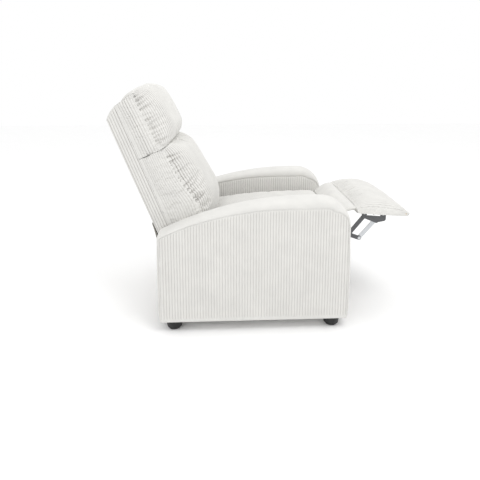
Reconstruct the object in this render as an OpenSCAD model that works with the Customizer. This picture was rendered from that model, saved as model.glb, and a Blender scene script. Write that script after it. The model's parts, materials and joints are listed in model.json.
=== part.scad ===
// Push-back recliner armchair: two upholstered arms on a base, a seat that glides forward,
// a back that reclines about a pin low at the rear, and a footrest on a folding linkage.
// Millimetres. +Z is up, the chair faces -Y, and the origin is on the floor at the centre
// of the base. Left and right are the sitter's: the left side is +X.
// The chair is drawn with its back upright and its footrest fully raised.

/* [Base and arms] */
// Width over both arms
overall_w = 670; // [600:5:800]
// Length of an arm, front to rear
arm_len = 784; // [700:4:900]
// Thickness of an arm
arm_t = 100; // [84:2:130]
// Height of the arm's crest above the floor
arm_crest_z = 559; // [520:1:600]
// Radius of the long crown along an arm's top
arm_crown_r = 1407; // [1200:10:2000]
// Radius of an arm's front corner
arm_front_r = 120; // [80:5:140]
// Radius of an arm's top rear corner
arm_rear_r = 25; // [15:1:40]
// Rounding of an arm's long edges
arm_edge = 14; // [8:1:18]
// Height of a foot
foot_h = 42; // [36:1:60]
// Diameter of a foot at its top
foot_d = 70; // [60:1:80]

/* [Seat] */
// Height of the springs' underside, which is the top of the seat frame
seat_frame_z = 326; // [310:1:340]
// Height of the seat frame's rails
rail_h = 60; // [40:2:70]
// Thickness of the seat frame's rails
rail_t = 25; // [18:1:30]
// Space for the linkage between the seat frame and an arm
linkage_space = 32; // [31:1:36]
// Setback of the seat frame's front from the front of the arms
seat_front_inset = 62; // [56:2:80]
// Distance of the seat frame's rear from the rear of the arms
seat_rear_inset = 152; // [142:2:172]
// Radius of the seat cushion's front roll
nose_r = 43; // [36:1:46]
// Number of sinuous springs
spring_count = 5; // [3:1:6]
// Wire diameter of the springs
wire_d = 3.6; // [3:0.1:4]

/* [Back] */
// Angle of the upright back from vertical
back_tilt = 21.8; // [15:0.1:25]
// Height of the recline pin above the floor
pin_z = 220; // [210:1:240]
// Distance of the recline pin from the rear of the arms
pin_inset = 68; // [62:1:82]
// Length of the back along its slope, from the pin to the top of the shell
back_top = 693; // [640:1:760]
// Depth of the back's frame and side band
band_t = 58; // [50:1:66]
// Thickness of the shell's rear panel
rear_panel_t = 14; // [10:1:16]
// Thickness of the shell's side walls
shell_wall = 11; // [9:1:12]
// Fullness of the lumbar cushion ahead of the side band
lumbar_full = 215; // [180:1:225]
// Fullness of the head pillow ahead of the side band
pillow_full = 180; // [150:1:190]

/* [Footrest] */
// Length of the footrest board, front to rear
board_len = 212; // [180:2:230]
// Thickness of the footrest board
board_t = 10; // [8:1:12]
// Droop of the board towards its tip, in degrees
board_droop = 4.7; // [2:0.1:6]
// Thickness of the pad at its rear seam
pad_t = 13; // [10:1:20]

/* [Linkage] */
// Thickness of the steel plates and links
plate_t = 3; // [2.5:0.5:3.5]
// Distance between neighbouring layers of links
layer = 4.5; // [4.3:0.1:4.6]
// Width of a link
link_w = 18; // [16:1:20]
// Diameter of a rivet's shank
rivet_d = 8; // [6:0.5:9]
// Diameter of a rivet's head
rivet_head_d = 14; // [12:0.5:15]
// Radius of the arc that the drive pin turns on about the recline pin
drive_r = 60; // [50:1:64]
// Diameter of the recline pins
recline_pin_d = 12; // [10:1:14]

/* [Fits] */
// Radial clearance of a pin that turns in a hole
run_fit = 0.05; // [0.02:0.01:0.1]
// Clearance all round a bolt or screw
bolt_fit = 0.2; // [0.1:0.05:0.4]
// Clearance between pieces that move past each other
slide_gap = 0.3; // [0.3:0.05:0.5]
// Gap between the back or seat and the arms beside it
side_gap = 3; // [2:0.5:5]
// Gap left between soft pieces and what is next to them
soft_gap = 0.5; // [0.3:0.1:1]

/* [Hidden] */

fine = 48;
eps = 1;
LEFT = 1;
RIGHT = -1;

cloth = "#cdc6b4";
cloth_dark = "#55504a";
timber = "#c49a6c";
black_plastic = "#1d1d1e";
dark_steel = "#3a3a3c";
zinc = "#b9bcc0";

half_w = overall_w / 2;
half_len = arm_len / 2;
// Inner face of an arm, and the widest that the seat and back may be
arm_in = half_w - arm_t;
inner_half = arm_in - side_gap;
// Front of the arms, which the seat and the linkage are placed from
front_y = -half_len;
pin_y = half_len - pin_inset;
seat_front = half_len - seat_front_inset;
seat_rear = half_len - seat_rear_inset;

// Arm profile: the crown's centre, and the height of the crown over a point y
crown_y = -0.6 * half_len;
crown_zc = arm_crest_z - arm_crown_r;
function inner_tangent_z(y, r) = crown_zc + sqrt(pow(arm_crown_r - r, 2) - pow(y - crown_y, 2));
front_c = [-half_len + arm_front_r, inner_tangent_z(-half_len + arm_front_r, arm_front_r)];
rear_c = [half_len - arm_rear_r, inner_tangent_z(half_len - arm_rear_r, arm_rear_r)];
function arc(c, r, a0, a1, n) = [for (i = [0:n]) c + r * [cos(a0 + (a1 - a0) * i / n), sin(a0 + (a1 - a0) * i / n)]];
function bearing(c) = atan2(c[1] - crown_zc, c[0] - crown_y);
arm_low_r = 22;
// Outline of an arm in the YZ plane, shrunk by g all round
function arm_outline(g) = concat(
    arc([-half_len + arm_low_r, foot_h + arm_low_r], max(arm_low_r - g, 1), 270, 180, 4),
    arc(front_c, arm_front_r - g, 180, bearing(front_c), 8),
    arc([crown_y, crown_zc], arm_crown_r - g, bearing(front_c), bearing(rear_c), 8),
    arc(rear_c, max(arm_rear_r - g, 1), bearing(rear_c), 0, 4),
    arc([half_len - arm_low_r, foot_h + arm_low_r], max(arm_low_r - g, 1), 0, -90, 4)
);

// The timber frame inside an arm
frame_inset = 36;
arm_frame_t = 44;
arm_frame_gap = 1;
post_w = 50;
mid_rail_z = [pin_z - 6, pin_z + 86];
low_rail_top = foot_h + frame_inset + 52;
arm_mid = half_w - arm_t / 2;

// Feet stand under the arms
foot_x = arm_mid;
foot_y = half_len - 62;
foot_screw_d = 6;
foot_screw_len = 88;

// Layers outward from the seat frame, each the inner face of its plate
seat_plate_x = arm_in - linkage_space;
brace_x = seat_plate_x + plate_t + 2.5;
lift_x = brace_x + layer;
cross_x = lift_x + layer;
bracket_x = cross_x + layer;
base_plate_x = arm_in - plate_t;
back_bracket_x = lift_x + plate_t;
head_t = 1.2;
head_gap = 0.1;

// Linkage pivots in the YZ plane, with the footrest raised
hinge_p = [front_y + 38, seat_frame_z + 90];
lift_base = [front_y + 98, seat_frame_z - 8];
crank_base = [front_y + 131, seat_frame_z - 52];
crank_end = [front_y + 14, seat_frame_z];
scissor_p = [front_y - 18, seat_frame_z + 39];
brace_base = [front_y - 68, seat_frame_z + 21];
knee_p = [front_y - 85, seat_frame_z + 122];
brace_end = [front_y - 136, seat_frame_z + 100];

// Recline: the drive pin swings evenly either side of straight down
recline_angle = 45;
drive_p = [pin_y + drive_r * sin(recline_angle / 2), pin_z - drive_r * cos(recline_angle / 2)];
seat_travel = 2 * drive_r * sin(recline_angle / 2);
drive_pin_d = 8;
drive_gap = 0.5;

// Slide rail, a channel that the glide blocks run in
channel_h = 28;
channel_z = seat_frame_z - 76;
channel_depth = arm_in - plate_t - (bracket_x - 2.5);
block_len = 44;
block_h = channel_h - 2 * plate_t - 2 * slide_gap;
block_y = [front_y + 232, half_len - 282];
channel_y = [block_y[0] - block_len / 2 - seat_travel - 5, block_y[1] + block_len / 2 + 6];

// Base plate and its bolts into the arm's middle rail
base_plate_y = [front_y + 112, half_len - 32];
base_plate_z = [pin_z - 24, pin_z + 80];
arm_bolt_y = [front_y + 152, front_y + 372, half_len - 202, half_len - 56];
arm_bolt_z = pin_z + 65;
arm_bolt_d = 6;
arm_bolt_len = 62;

// Cross rails between the arms
cross_rail_y = [front_y + 92, half_len - 42];
cross_rail_z = 60;
cross_rail_h = 40;
angle_leg = 38;
angle_t = 2.5;

// Seat plate
seat_plate_y = [front_y + 74, half_len - 187];
seat_plate_z = [channel_z - 20, seat_frame_z - 4];
plate_bolt_y = [front_y + 242, half_len - 372, half_len - 212];
plate_bolt_z = seat_frame_z - 26;
plate_bolt_d = 6;

// Seat cushion profile
cushion_z = seat_frame_z + 8;
nose_c = [-seat_front + 3, seat_frame_z + 67];
cushion_rear = half_len - 109;
cushion_edge = 24;

// Back, measured up its slope (u) and forward from the frame's rear (v) about the recline pin
shell_v0 = -8;
shell_v1 = shell_v0 + band_t;
shell_low = 143;
cut_slope = 0.43;
back_frame_x = [back_bracket_x - 26, back_bracket_x];
frame_v = [shell_v0 + rear_panel_t + 2, shell_v1 - 6];
frame_u = [175, back_top - 17];
head_split = back_top - 196;
bracket_u = 430;
bracket_v = [12, 40];
strap_t = 2;

// Footrest board and pad, measured from the board's lower rear edge
board_p = [front_y - 53, seat_frame_z + 139];
board_half = inner_half - 2;

// ---------- helpers ----------

// Stands a YZ drawing up as a plate between x0 and x0 + t
module plate(x0, t) translate([x0, 0, 0]) rotate([90, 0, 90]) linear_extrude(t) children();

// A YZ drawing as a block of width w centred on x = 0
module block(w) plate(-w / 2, w) children();

// Draws the left-hand piece, or its mirror image on the right
module hand(side) mirror([side < 0 ? 1 : 0, 0, 0]) children();

// Both hands of a piece
module pair() for (side = [LEFT, RIGHT]) hand(side) children();

// A round bar along X from x0 to x1 through the point p in the YZ plane
module bar_x(p, d, x0, x1) translate([x0, p[0], p[1]]) rotate([0, 90, 0]) cylinder(h = x1 - x0, d = d, $fn = fine);

// Outline of a flat link through two or three pivots, with round ends
function heading(p, q) = atan2(q[1] - p[1], q[0] - p[0]);
function polar(a) = [cos(a), sin(a)];
function link_outline(pivots, r) = let (
    last = len(pivots) - 1,
    a0 = heading(pivots[0], pivots[1]),
    a1 = heading(pivots[last - 1], pivots[last]),
    turn = (a1 - a0 + 540) % 360 - 180,
    knee = last == 2 ? r / cos(turn / 2) * polar(a0 + turn / 2 + 90) : [0, 0]
) concat(
    arc(pivots[0], r, a0 + 90, a0 + 270, 14),
    last == 2 ? [pivots[1] - knee] : [],
    arc(pivots[last], r, a1 - 90, a1 + 90, 14),
    last == 2 ? [pivots[1] + knee] : []
);
module link_2d(pivots, w = link_w) polygon(link_outline(pivots, w / 2));

// A round hole in a YZ drawing
module hole_2d(p, d) translate(p) circle(d = d, $fn = fine);

// A box given by its two corners
module box(a, b) translate(a) cube(b - a);

// The back's own slope: local Z runs up the back and local -Y runs forward
module on_back() translate([0, pin_y, pin_z]) rotate([-back_tilt, 0, 0]) children();

// ---------- base ----------

module arm_cavity(gap) plate(arm_mid - arm_frame_t / 2 - gap, arm_frame_t + 2 * gap) polygon(arm_outline(frame_inset - gap));

module foot_screw_hole(d) {
    for (s = [-1, 1]) translate([foot_x, s * foot_y, foot_h - eps]) {
        cylinder(h = foot_screw_len, d = d, $fn = fine);
    }
}

module arm_bolt_holes(d) {
    for (y = arm_bolt_y) bar_x([y, arm_bolt_z], d, base_plate_x - eps, base_plate_x + arm_bolt_len + eps);
}

module arm_cover(side) color(cloth) hand(side) difference() {
    translate([arm_mid, 0, 0]) hull() {
        block(arm_t) polygon(arm_outline(arm_edge));
        block(arm_t - arm_edge) polygon(arm_outline(arm_edge / 4));
        block(arm_t - 2 * arm_edge) polygon(arm_outline(0));
    }
    arm_cavity(arm_frame_gap);
    foot_screw_hole(foot_screw_d + 2 * bolt_fit);
    arm_bolt_holes(arm_bolt_d + 2 * bolt_fit);
}

module arm_frame(side) color(timber) hand(side) difference() {
    arm_cavity(0);
    plate(arm_mid - arm_frame_t, 2 * arm_frame_t) for (s = [-1, 1]) {
        y0 = s < 0 ? -half_len + frame_inset + post_w : post_w / 2;
        y1 = s < 0 ? -post_w / 2 : half_len - frame_inset - post_w;
        translate([y0, low_rail_top]) square([y1 - y0, mid_rail_z[0] - low_rail_top]);
        translate([y0, mid_rail_z[1]]) square([y1 - y0, 62]);
    }
    foot_screw_hole(foot_screw_d + 2 * bolt_fit);
    arm_bolt_holes(arm_bolt_d + 2 * bolt_fit);
}

module base_plate(side) color(dark_steel) hand(side) plate(base_plate_x, plate_t) difference() {
    translate([base_plate_y[0], base_plate_z[0]])
        square([base_plate_y[1] - base_plate_y[0], base_plate_z[1] - base_plate_z[0]]);
    for (y = arm_bolt_y) hole_2d([y, arm_bolt_z], arm_bolt_d + 2 * bolt_fit);
    hole_2d([pin_y, pin_z], recline_pin_d);
}

module slide_rail(side) color(zinc) hand(side) difference() {
    box([base_plate_x - channel_depth, channel_y[0], channel_z - channel_h / 2],
        [base_plate_x, channel_y[1], channel_z + channel_h / 2]);
    box([base_plate_x - channel_depth - eps, channel_y[0] - eps, channel_z - channel_h / 2 + plate_t],
        [base_plate_x - plate_t, channel_y[1] + eps, channel_z + channel_h / 2 - plate_t]);
}

module cross_rail(y) color(timber)
    box([-arm_in, y - rail_t / 2, cross_rail_z], [arm_in, y + rail_t / 2, cross_rail_z + cross_rail_h]);

// An angle joins each end of a cross rail to the arm, on the rail's face nearer the origin
module corner_brackets() color(zinc) pair() for (y = cross_rail_y) {
    s = y < 0 ? 1 : -1;
    z0 = cross_rail_z + 3;
    z1 = cross_rail_z + cross_rail_h - 3;
    translate([0, y + s * rail_t / 2, 0]) mirror([0, s < 0 ? 1 : 0, 0]) {
        box([arm_in - angle_leg, 0, z0], [arm_in, angle_t, z1]);
        box([arm_in - angle_t, 0, z0], [arm_in, angle_leg, z1]);
    }
}

module arm_bolts() color(zinc) pair() for (y = arm_bolt_y) {
    bar_x([y, arm_bolt_z], arm_bolt_d, base_plate_x - head_t, base_plate_x + arm_bolt_len);
    translate([base_plate_x - 4, y, arm_bolt_z]) rotate([0, 90, 0]) cylinder(h = 4, d = 11, $fn = 6);
}

// A turned foot with a flat sole and a counterbore for its screw
module foot(side, s) color(black_plastic) translate([side * foot_x, s * foot_y, 0]) rotate_extrude($fn = fine)
    polygon([
        [9, 0], [foot_d * 0.34, 0], [foot_d * 0.43, 8], [foot_d / 2, foot_h * 0.8], [foot_d / 2, foot_h],
        [foot_screw_d / 2 + bolt_fit, foot_h], [foot_screw_d / 2 + bolt_fit, 18], [9, 18],
    ]);

module foot_screws() color(zinc) pair() for (s = [-1, 1]) translate([foot_x, s * foot_y, 0]) {
    translate([0, 0, 13]) cylinder(h = 5, d = 13, $fn = fine);
    translate([0, 0, 13]) cylinder(h = foot_screw_len, d = foot_screw_d, $fn = fine);
}

// Shouldered pins from the base plates that the back's brackets turn on
module recline_pins() color(zinc) pair() {
    c = [pin_y, pin_z];
    bar_x(c, recline_pin_d, back_bracket_x - 2, arm_in);
    bar_x(c, 2 * recline_pin_d, back_bracket_x + plate_t + slide_gap, base_plate_x);
    bar_x(c, 1.7 * recline_pin_d, back_bracket_x - 3 - slide_gap, back_bracket_x - slide_gap);
}

// Loose cloth that hangs behind the back, from its rear panel to the base
curtain_t = 3;
function back_point(u, v) = [
    pin_y + u * sin(back_tilt) - v * cos(back_tilt), pin_z + u * cos(back_tilt) + v * sin(back_tilt)
];
curtain_top = back_point(shell_low + 85, shell_v0) + [soft_gap + 0.5, 0];
curtain_mid = back_point(shell_low, shell_v0) + [soft_gap + 2, -14];
curtain_low = [half_len - 8, foot_h + 8];
module rear_curtain() color(cloth) block(2 * inner_half) polygon([
    curtain_low, curtain_mid, curtain_top,
    curtain_top + [curtain_t, 0], curtain_mid + [curtain_t, 0], curtain_low + [curtain_t, 0],
]);

// ---------- seat ----------

seat_half = seat_plate_x;

module seat_rail_side(side) color(timber) hand(side) difference() {
    box([seat_half - rail_t, -seat_front, seat_frame_z - rail_h], [seat_half, seat_rear, seat_frame_z]);
    for (y = plate_bolt_y) bar_x([y, plate_bolt_z], plate_bolt_d + 2 * bolt_fit, 0, seat_half + eps);
    for (p = [lift_base, crank_base]) bar_x(p, rivet_head_d + 3, seat_half - 4, seat_half + eps);
}

module seat_rail_cross(y0) color(timber)
    box([-(seat_half - rail_t), y0, seat_frame_z - rail_h], [seat_half - rail_t, y0 + rail_t, seat_frame_z]);

// A sinuous spring: half rings joined by straight bars, laid flat from rail to rail
spring_z = seat_frame_z + 2;
spring_pitch = 22;
spring_bar = 30;
spring_n = floor((seat_front + seat_rear - rail_t) / spring_pitch / 2) * 2;
spring_run = spring_n * spring_pitch;
spring_y0 = (seat_rear - seat_front - spring_run) / 2;
module sinuous_spring() translate([0, spring_y0, spring_z]) linear_extrude(wire_d) {
    for (i = [0:spring_n - 1]) {
        s = i % 2 == 0 ? 1 : -1;
        translate([s * spring_bar / 2, (i + 0.5) * spring_pitch]) intersection() {
            difference() {
                circle(d = spring_pitch + wire_d, $fn = fine);
                circle(d = spring_pitch - wire_d, $fn = fine);
            }
            translate([s > 0 ? 0 : -spring_pitch, -spring_pitch]) square([spring_pitch, 2 * spring_pitch]);
        }
    }
    for (i = [0:spring_n]) translate([-spring_bar / 2, i * spring_pitch - wire_d / 2]) square([spring_bar, wire_d]);
}
function spring_x(i) = (i - (spring_count - 1) / 2) * (2 * (seat_half - rail_t) - 40) / spring_count;

module seat_springs() color(zinc) for (i = [0:spring_count - 1]) translate([spring_x(i), 0, 0]) sinuous_spring();

// A folded clip holds each end of each spring
module spring_clips() color(dark_steel) for (i = [0:spring_count - 1]) for (y = [spring_y0, spring_y0 + spring_run]) {
    translate([spring_x(i), y, 0]) difference() {
        box([-9, -6, seat_frame_z], [9, 6, spring_z + wire_d + 1.6]);
        box([-9 - eps, -wire_d / 2 - 0.1, spring_z - 0.1], [9 + eps, wire_d / 2 + 0.1, spring_z + wire_d + 0.1]);
    }
}

// The cushion's side outline, raised by crown in the middle and shrunk by g all round
function cushion_outline(crown, g) = let (top = nose_c[1] + nose_r - g) concat(
    arc(nose_c, nose_r - g, 270, 90, 12),
    [
        [front_y + 242, top + crown], [0, top - 9 + crown], [half_len - 246, top - 31 + crown * 0.3],
        [cushion_rear - g, top - 58], [cushion_rear - g, cushion_z + g], [nose_c[0] + nose_r, cushion_z + g],
    ]
);

module seat_cushion() color(cloth) hull() {
    block(2 * inner_half) polygon(cushion_outline(0, cushion_edge / 2));
    block(2 * inner_half - cushion_edge) polygon(cushion_outline(0, cushion_edge / 6));
    block(inner_half) polygon(cushion_outline(9, 0));
}

module seat_front_panel() color(cloth)
    box([-seat_half, -seat_front - 6, seat_frame_z - rail_h - 20], [seat_half, -seat_front, seat_frame_z + 18]);

module seat_dust_cover() color(cloth_dark)
    box([-(seat_half - 2), -seat_front + 4, seat_frame_z - rail_h - 1.5],
        [seat_half - 2, seat_rear - 4, seat_frame_z - rail_h]);

// The plate carries both front pivots, both glide blocks and, on its tail, the drive slot
module seat_plate(side) color(dark_steel) hand(side) plate(seat_plate_x, plate_t) difference() {
    union() {
        polygon([
            [seat_plate_y[0], seat_plate_z[0]], [block_y[1] + 40, seat_plate_z[0]],
            [drive_p[0] - 22, drive_p[1] - 22], [drive_p[0] + 24, drive_p[1] - 22],
            [drive_p[0] + 24, drive_p[1] + 22], [seat_plate_y[1], seat_plate_z[1]],
            [seat_plate_y[0], seat_plate_z[1]],
        ]);
        hole_2d(lift_base, 24);
    }
    for (p = [lift_base, crank_base]) hole_2d(p, rivet_d);
    for (y = plate_bolt_y) hole_2d([y, plate_bolt_z], plate_bolt_d + 2 * bolt_fit);
    for (y = block_y) hole_2d([y, channel_z], 8);
    translate(drive_p - [drive_pin_d / 2 + drive_gap, 9]) square([drive_pin_d + 2 * drive_gap, 18]);
}

// Nylon blocks on steel studs run in the slide rails
module glide_blocks() color(black_plastic) pair() for (y = block_y) {
    x1 = base_plate_x - plate_t - slide_gap;
    box([x1 - 7, y - block_len / 2, channel_z - block_h / 2], [x1, y + block_len / 2, channel_z + block_h / 2]);
    bar_x([y, channel_z], 12, seat_plate_x + plate_t, x1 - 6);
    bar_x([y, channel_z], 8, seat_plate_x, seat_plate_x + plate_t + eps);
}

module seat_plate_bolts() color(zinc) pair() for (y = plate_bolt_y) {
    c = [y, plate_bolt_z];
    bar_x(c, plate_bolt_d, seat_half - rail_t - 6, seat_plate_x + plate_t + head_t);
    bar_x(c, 12, seat_plate_x + plate_t, seat_plate_x + plate_t + head_t);
    bar_x(c, 12, seat_half - rail_t - 5, seat_half - rail_t);
}

// A rivet from the seat plate out to a link whose inner face is at x, with a spacer between
module seat_pivot(p, x) {
    bar_x(p, rivet_d, seat_plate_x - head_t, x + plate_t + head_gap + head_t);
    bar_x(p, rivet_head_d, seat_plate_x - head_t, seat_plate_x);
    bar_x(p, rivet_head_d, seat_plate_x + plate_t, x - slide_gap);
    bar_x(p, rivet_head_d, x + plate_t + head_gap, x + plate_t + head_gap + head_t);
}

module seat_pivots() color(zinc) pair() {
    seat_pivot(lift_base, lift_x);
    seat_pivot(crank_base, bracket_x);
}

// ---------- back ----------

// The shell's side outline, with its lower edge cut on a slant
module shell_2d(v0, v1, top) polygon([
    [-v0, shell_low + cut_slope * (v0 - shell_v0)], [-v1, shell_low + cut_slope * (v1 - shell_v0)],
    [-v1, top], [-v0, top],
]);

module back_shell() color(cloth) on_back() difference() {
    block(2 * inner_half) shell_2d(shell_v0, shell_v1, back_top);
    block(2 * (inner_half - shell_wall)) translate([-(shell_v1 + eps), 0])
        square([shell_v1 + eps - shell_v0 - rear_panel_t, back_top - 13]);
}

module back_frame() color(timber) on_back() difference() {
    union() {
        pair() box([back_frame_x[0], -frame_v[1], frame_u[0]], [back_frame_x[1], -frame_v[0], frame_u[1]]);
        for (u = [frame_u[0] + 5, 410, frame_u[1] - 50])
            box([-back_frame_x[0] - eps, -frame_v[1], u], [back_frame_x[0] + eps, -frame_v[1] + 22, u + 50]);
    }
    back_bolt_holes(plate_bolt_d + 2 * bolt_fit);
}

bolt_u = [255, 320, 385];
bolt_v = (bracket_v[0] + bracket_v[1]) / 2;
module back_bolt_holes(d) for (u = bolt_u) pair() bar_x([-bolt_v, u], d, back_frame_x[0] - eps, back_bracket_x + plate_t + eps);

// Elastic straps across the front of the back's frame
module back_straps() color(cloth_dark) on_back() for (i = [0:4]) {
    u = frame_u[0] + 70 + i * 85;
    box([-back_frame_x[1] + 4, -frame_v[1] - strap_t, u], [back_frame_x[1] - 4, -frame_v[1], u + 50]);
}

module lumbar_2d(full) polygon([
    [-shell_v1 - soft_gap - strap_t, shell_low + 32], [-shell_v1 - soft_gap - strap_t, head_split - 2],
    [-shell_v1 - full * 0.69, head_split + 8], [-shell_v1 - full * 0.82, head_split - 12],
    [-shell_v1 - full * 0.92, head_split - 82], [-shell_v1 - full, head_split - 215],
    [-shell_v1 - full * 0.99, head_split - 275], [-shell_v1 - full * 0.86, shell_low - 14],
]);

module lumbar_cushion() color(cloth) on_back() hull() {
    block(2 * inner_half) offset(delta = -6) lumbar_2d(lumbar_full * 0.62);
    block(2 * inner_half - 20) lumbar_2d(lumbar_full * 0.66);
    block(1.3 * inner_half) lumbar_2d(lumbar_full);
}

module pillow_2d(full) polygon([
    [-shell_v1 - soft_gap, head_split + 4], [-shell_v1 - soft_gap, back_top + 2],
    [-shell_v1 - 4, back_top + 44], [-shell_v1 - full * 0.4, back_top + 70],
    [-shell_v1 - full * 0.71, back_top + 73], [-shell_v1 - full * 0.9, back_top + 20],
    [-shell_v1 - full, back_top - 112], [-shell_v1 - full * 0.92, head_split + 30],
    [-shell_v1 - full * 0.7, head_split + 16],
]);

module head_pillow() color(cloth) on_back() hull() {
    block(2 * inner_half) offset(delta = -6) pillow_2d(pillow_full * 0.62);
    block(2 * inner_half - 20) pillow_2d(pillow_full * 0.66);
    block(1.3 * inner_half) pillow_2d(pillow_full);
}

drive_local = [
    (drive_p[0] - pin_y) * cos(back_tilt) - (drive_p[1] - pin_z) * sin(back_tilt),
    (drive_p[0] - pin_y) * sin(back_tilt) + (drive_p[1] - pin_z) * cos(back_tilt)
];
// One flat outline: the strip up the frame, the eye on the recline pin, and the drive arm
drive_arm_r = 12;
eye_r = 20;
drive_heading = heading([0, 0], drive_local);
module back_bracket(side) color(dark_steel) on_back() hand(side) plate(back_bracket_x, plate_t) difference() {
    polygon(concat(
        [[-bracket_v[1], bracket_u], [-bracket_v[0], bracket_u], [-bracket_v[0], 150]],
        arc([0, 0], eye_r, 30, 15, 2),
        arc(drive_local, drive_arm_r, drive_heading + 90, drive_heading - 90, 12),
        arc([0, 0], eye_r, -110, -190, 8),
        [[-bracket_v[1], 150]]
    ));
    hole_2d([0, 0], recline_pin_d + 2 * run_fit);
    hole_2d(drive_local, drive_pin_d);
    for (u = bolt_u) hole_2d([-bolt_v, u], plate_bolt_d + 2 * bolt_fit);
}

module back_bolts() color(zinc) on_back() pair() for (u = bolt_u) {
    bar_x([-bolt_v, u], plate_bolt_d, back_frame_x[0] - 5, back_bracket_x + plate_t);
    bar_x([-bolt_v, u], 12, back_frame_x[0] - 5, back_frame_x[0]);
}

module drive_pins() color(zinc) pair() {
    bar_x(drive_p, drive_pin_d, seat_plate_x - 3, back_bracket_x + plate_t + head_t);
    bar_x(drive_p, drive_pin_d + 5, back_bracket_x + plate_t, back_bracket_x + plate_t + head_t);
    bar_x(drive_p, drive_pin_d + 5, seat_plate_x + plate_t + 1, back_bracket_x);
}

// ---------- footrest ----------

// Drawings below are laid out from the board's lower rear edge, with -Y towards the tip
module on_board() translate([0, board_p[0], board_p[1]]) rotate([board_droop, 0, 0]) children();

module footrest_board() color(timber) on_board() box([-board_half, -board_len, 0], [board_half, 0, board_t]);

module footrest_pad() color(cloth) on_board() block(2 * inner_half) polygon([
    [3, board_t + soft_gap], [4, board_t + pad_t], [-board_len / 2, board_t + pad_t + 9],
    [-board_len + 15, board_t + pad_t + 2], [-board_len - 6, board_t], [-board_len - 7, 0],
    [-board_len - soft_gap, 0], [-board_len - soft_gap, board_t + soft_gap],
]);

// Cloth that fills the gap between the seat's front roll and the footrest
flap_t = 3;
flap_gap = 32;
flap_end = board_p + [5, board_t + pad_t - 3];
flap_start = hinge_p + flap_gap * polar(heading(hinge_p, flap_end));
module footrest_flap() color(cloth) block(2 * seat_half) polygon([
    flap_start, flap_end, flap_end + [0, flap_t], flap_start + [0, flap_t],
]);

// Bracket: a bar with two pivots, held below the board by two tabs, and a flange screwed under the board
flange_y = [board_p[0] - 124, board_p[0] - 17];
bracket_r = 10;
bar_gap = 11;
bar_h = 20;
tab_w = 24;
function board_low(y) = board_p[1] + (y - board_p[0]) * tan(board_droop);
module footrest_bracket(side) color(dark_steel) hand(side) {
    y = [flange_y[0], flange_y[0] + tab_w, flange_y[1] - tab_w, flange_y[1]];
    tip = [y[0] + bar_h / 2, board_low(y[0]) - bar_gap - bar_h / 2];
    plate(bracket_x, plate_t) polygon(concat(
        [for (i = [3, 2]) [y[i], board_low(y[i])]], [for (i = [2, 1]) [y[i], board_low(y[i]) - bar_gap]],
        [for (i = [1, 0]) [y[i], board_low(y[i])]], arc(tip, bar_h / 2, 180, 270, 6),
        arc(brace_end, bracket_r, 220, 310, 6), arc(knee_p, bracket_r + 1, 270, 360, 8)
    ));
    plate(bracket_x, board_half - bracket_x) polygon([
        [flange_y[0], board_low(flange_y[0])], [flange_y[1], board_low(flange_y[1])],
        [flange_y[1], board_low(flange_y[1]) - plate_t], [flange_y[0], board_low(flange_y[0]) - plate_t],
    ]);
}

module footrest_screws() color(zinc) pair() for (t = [-30, -70, -110]) on_board() {
    translate([bracket_x + plate_t + 3.5, t, -plate_t - 2]) cylinder(h = 2, d = 6, $fn = fine);
}

// ---------- linkage ----------

rivet_hole_d = rivet_d + 2 * run_fit;

// Bell-shaped link: one hole at the seat plate, one at the scissor pin, one at the brace
module lift_link(side) color(dark_steel) hand(side) plate(lift_x, plate_t) difference() {
    link_2d([lift_base, scissor_p, brace_base]);
    hole_2d(lift_base, rivet_hole_d);
    for (p = [scissor_p, brace_base]) hole_2d(p, rivet_d);
}

// Pins on the lift links: outward for the cross links, inward for the braces
module lift_pivots() color(zinc) pair() {
    bar_x(scissor_p, rivet_d, lift_x - head_t, cross_x + plate_t + head_gap + head_t);
    bar_x(scissor_p, rivet_head_d, lift_x - head_t, lift_x);
    bar_x(scissor_p, rivet_head_d, cross_x + plate_t + head_gap, cross_x + plate_t + head_gap + head_t);
    bar_x(brace_base, rivet_d, brace_x - head_gap - head_t, lift_x + plate_t + head_t);
    bar_x(brace_base, rivet_head_d, brace_x - head_gap - head_t, brace_x - head_gap);
    bar_x(brace_base, rivet_head_d, lift_x + plate_t, lift_x + plate_t + head_t);
}

module cross_link(side) color(dark_steel) hand(side) plate(cross_x, plate_t) difference() {
    link_2d([crank_end, scissor_p, knee_p]);
    hole_2d(scissor_p, rivet_hole_d);
}

// A washer at the crank and a rivet head at the knee, on the cross links' open pivots
module cross_link_rivets() color(zinc) pair() {
    bar_x(crank_end, rivet_head_d, cross_x + plate_t, cross_x + plate_t + head_t);
    bar_x(knee_p, rivet_head_d, cross_x - head_t, cross_x);
}

module brace_link(side) color(zinc) hand(side) plate(brace_x, plate_t) difference() {
    link_2d([brace_base, brace_end]);
    hole_2d(brace_base, rivet_hole_d);
}

module crank(side) color(dark_steel) hand(side) plate(bracket_x, plate_t) difference() {
    link_2d([crank_base, crank_end]);
    hole_2d(crank_base, rivet_hole_d);
}

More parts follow.
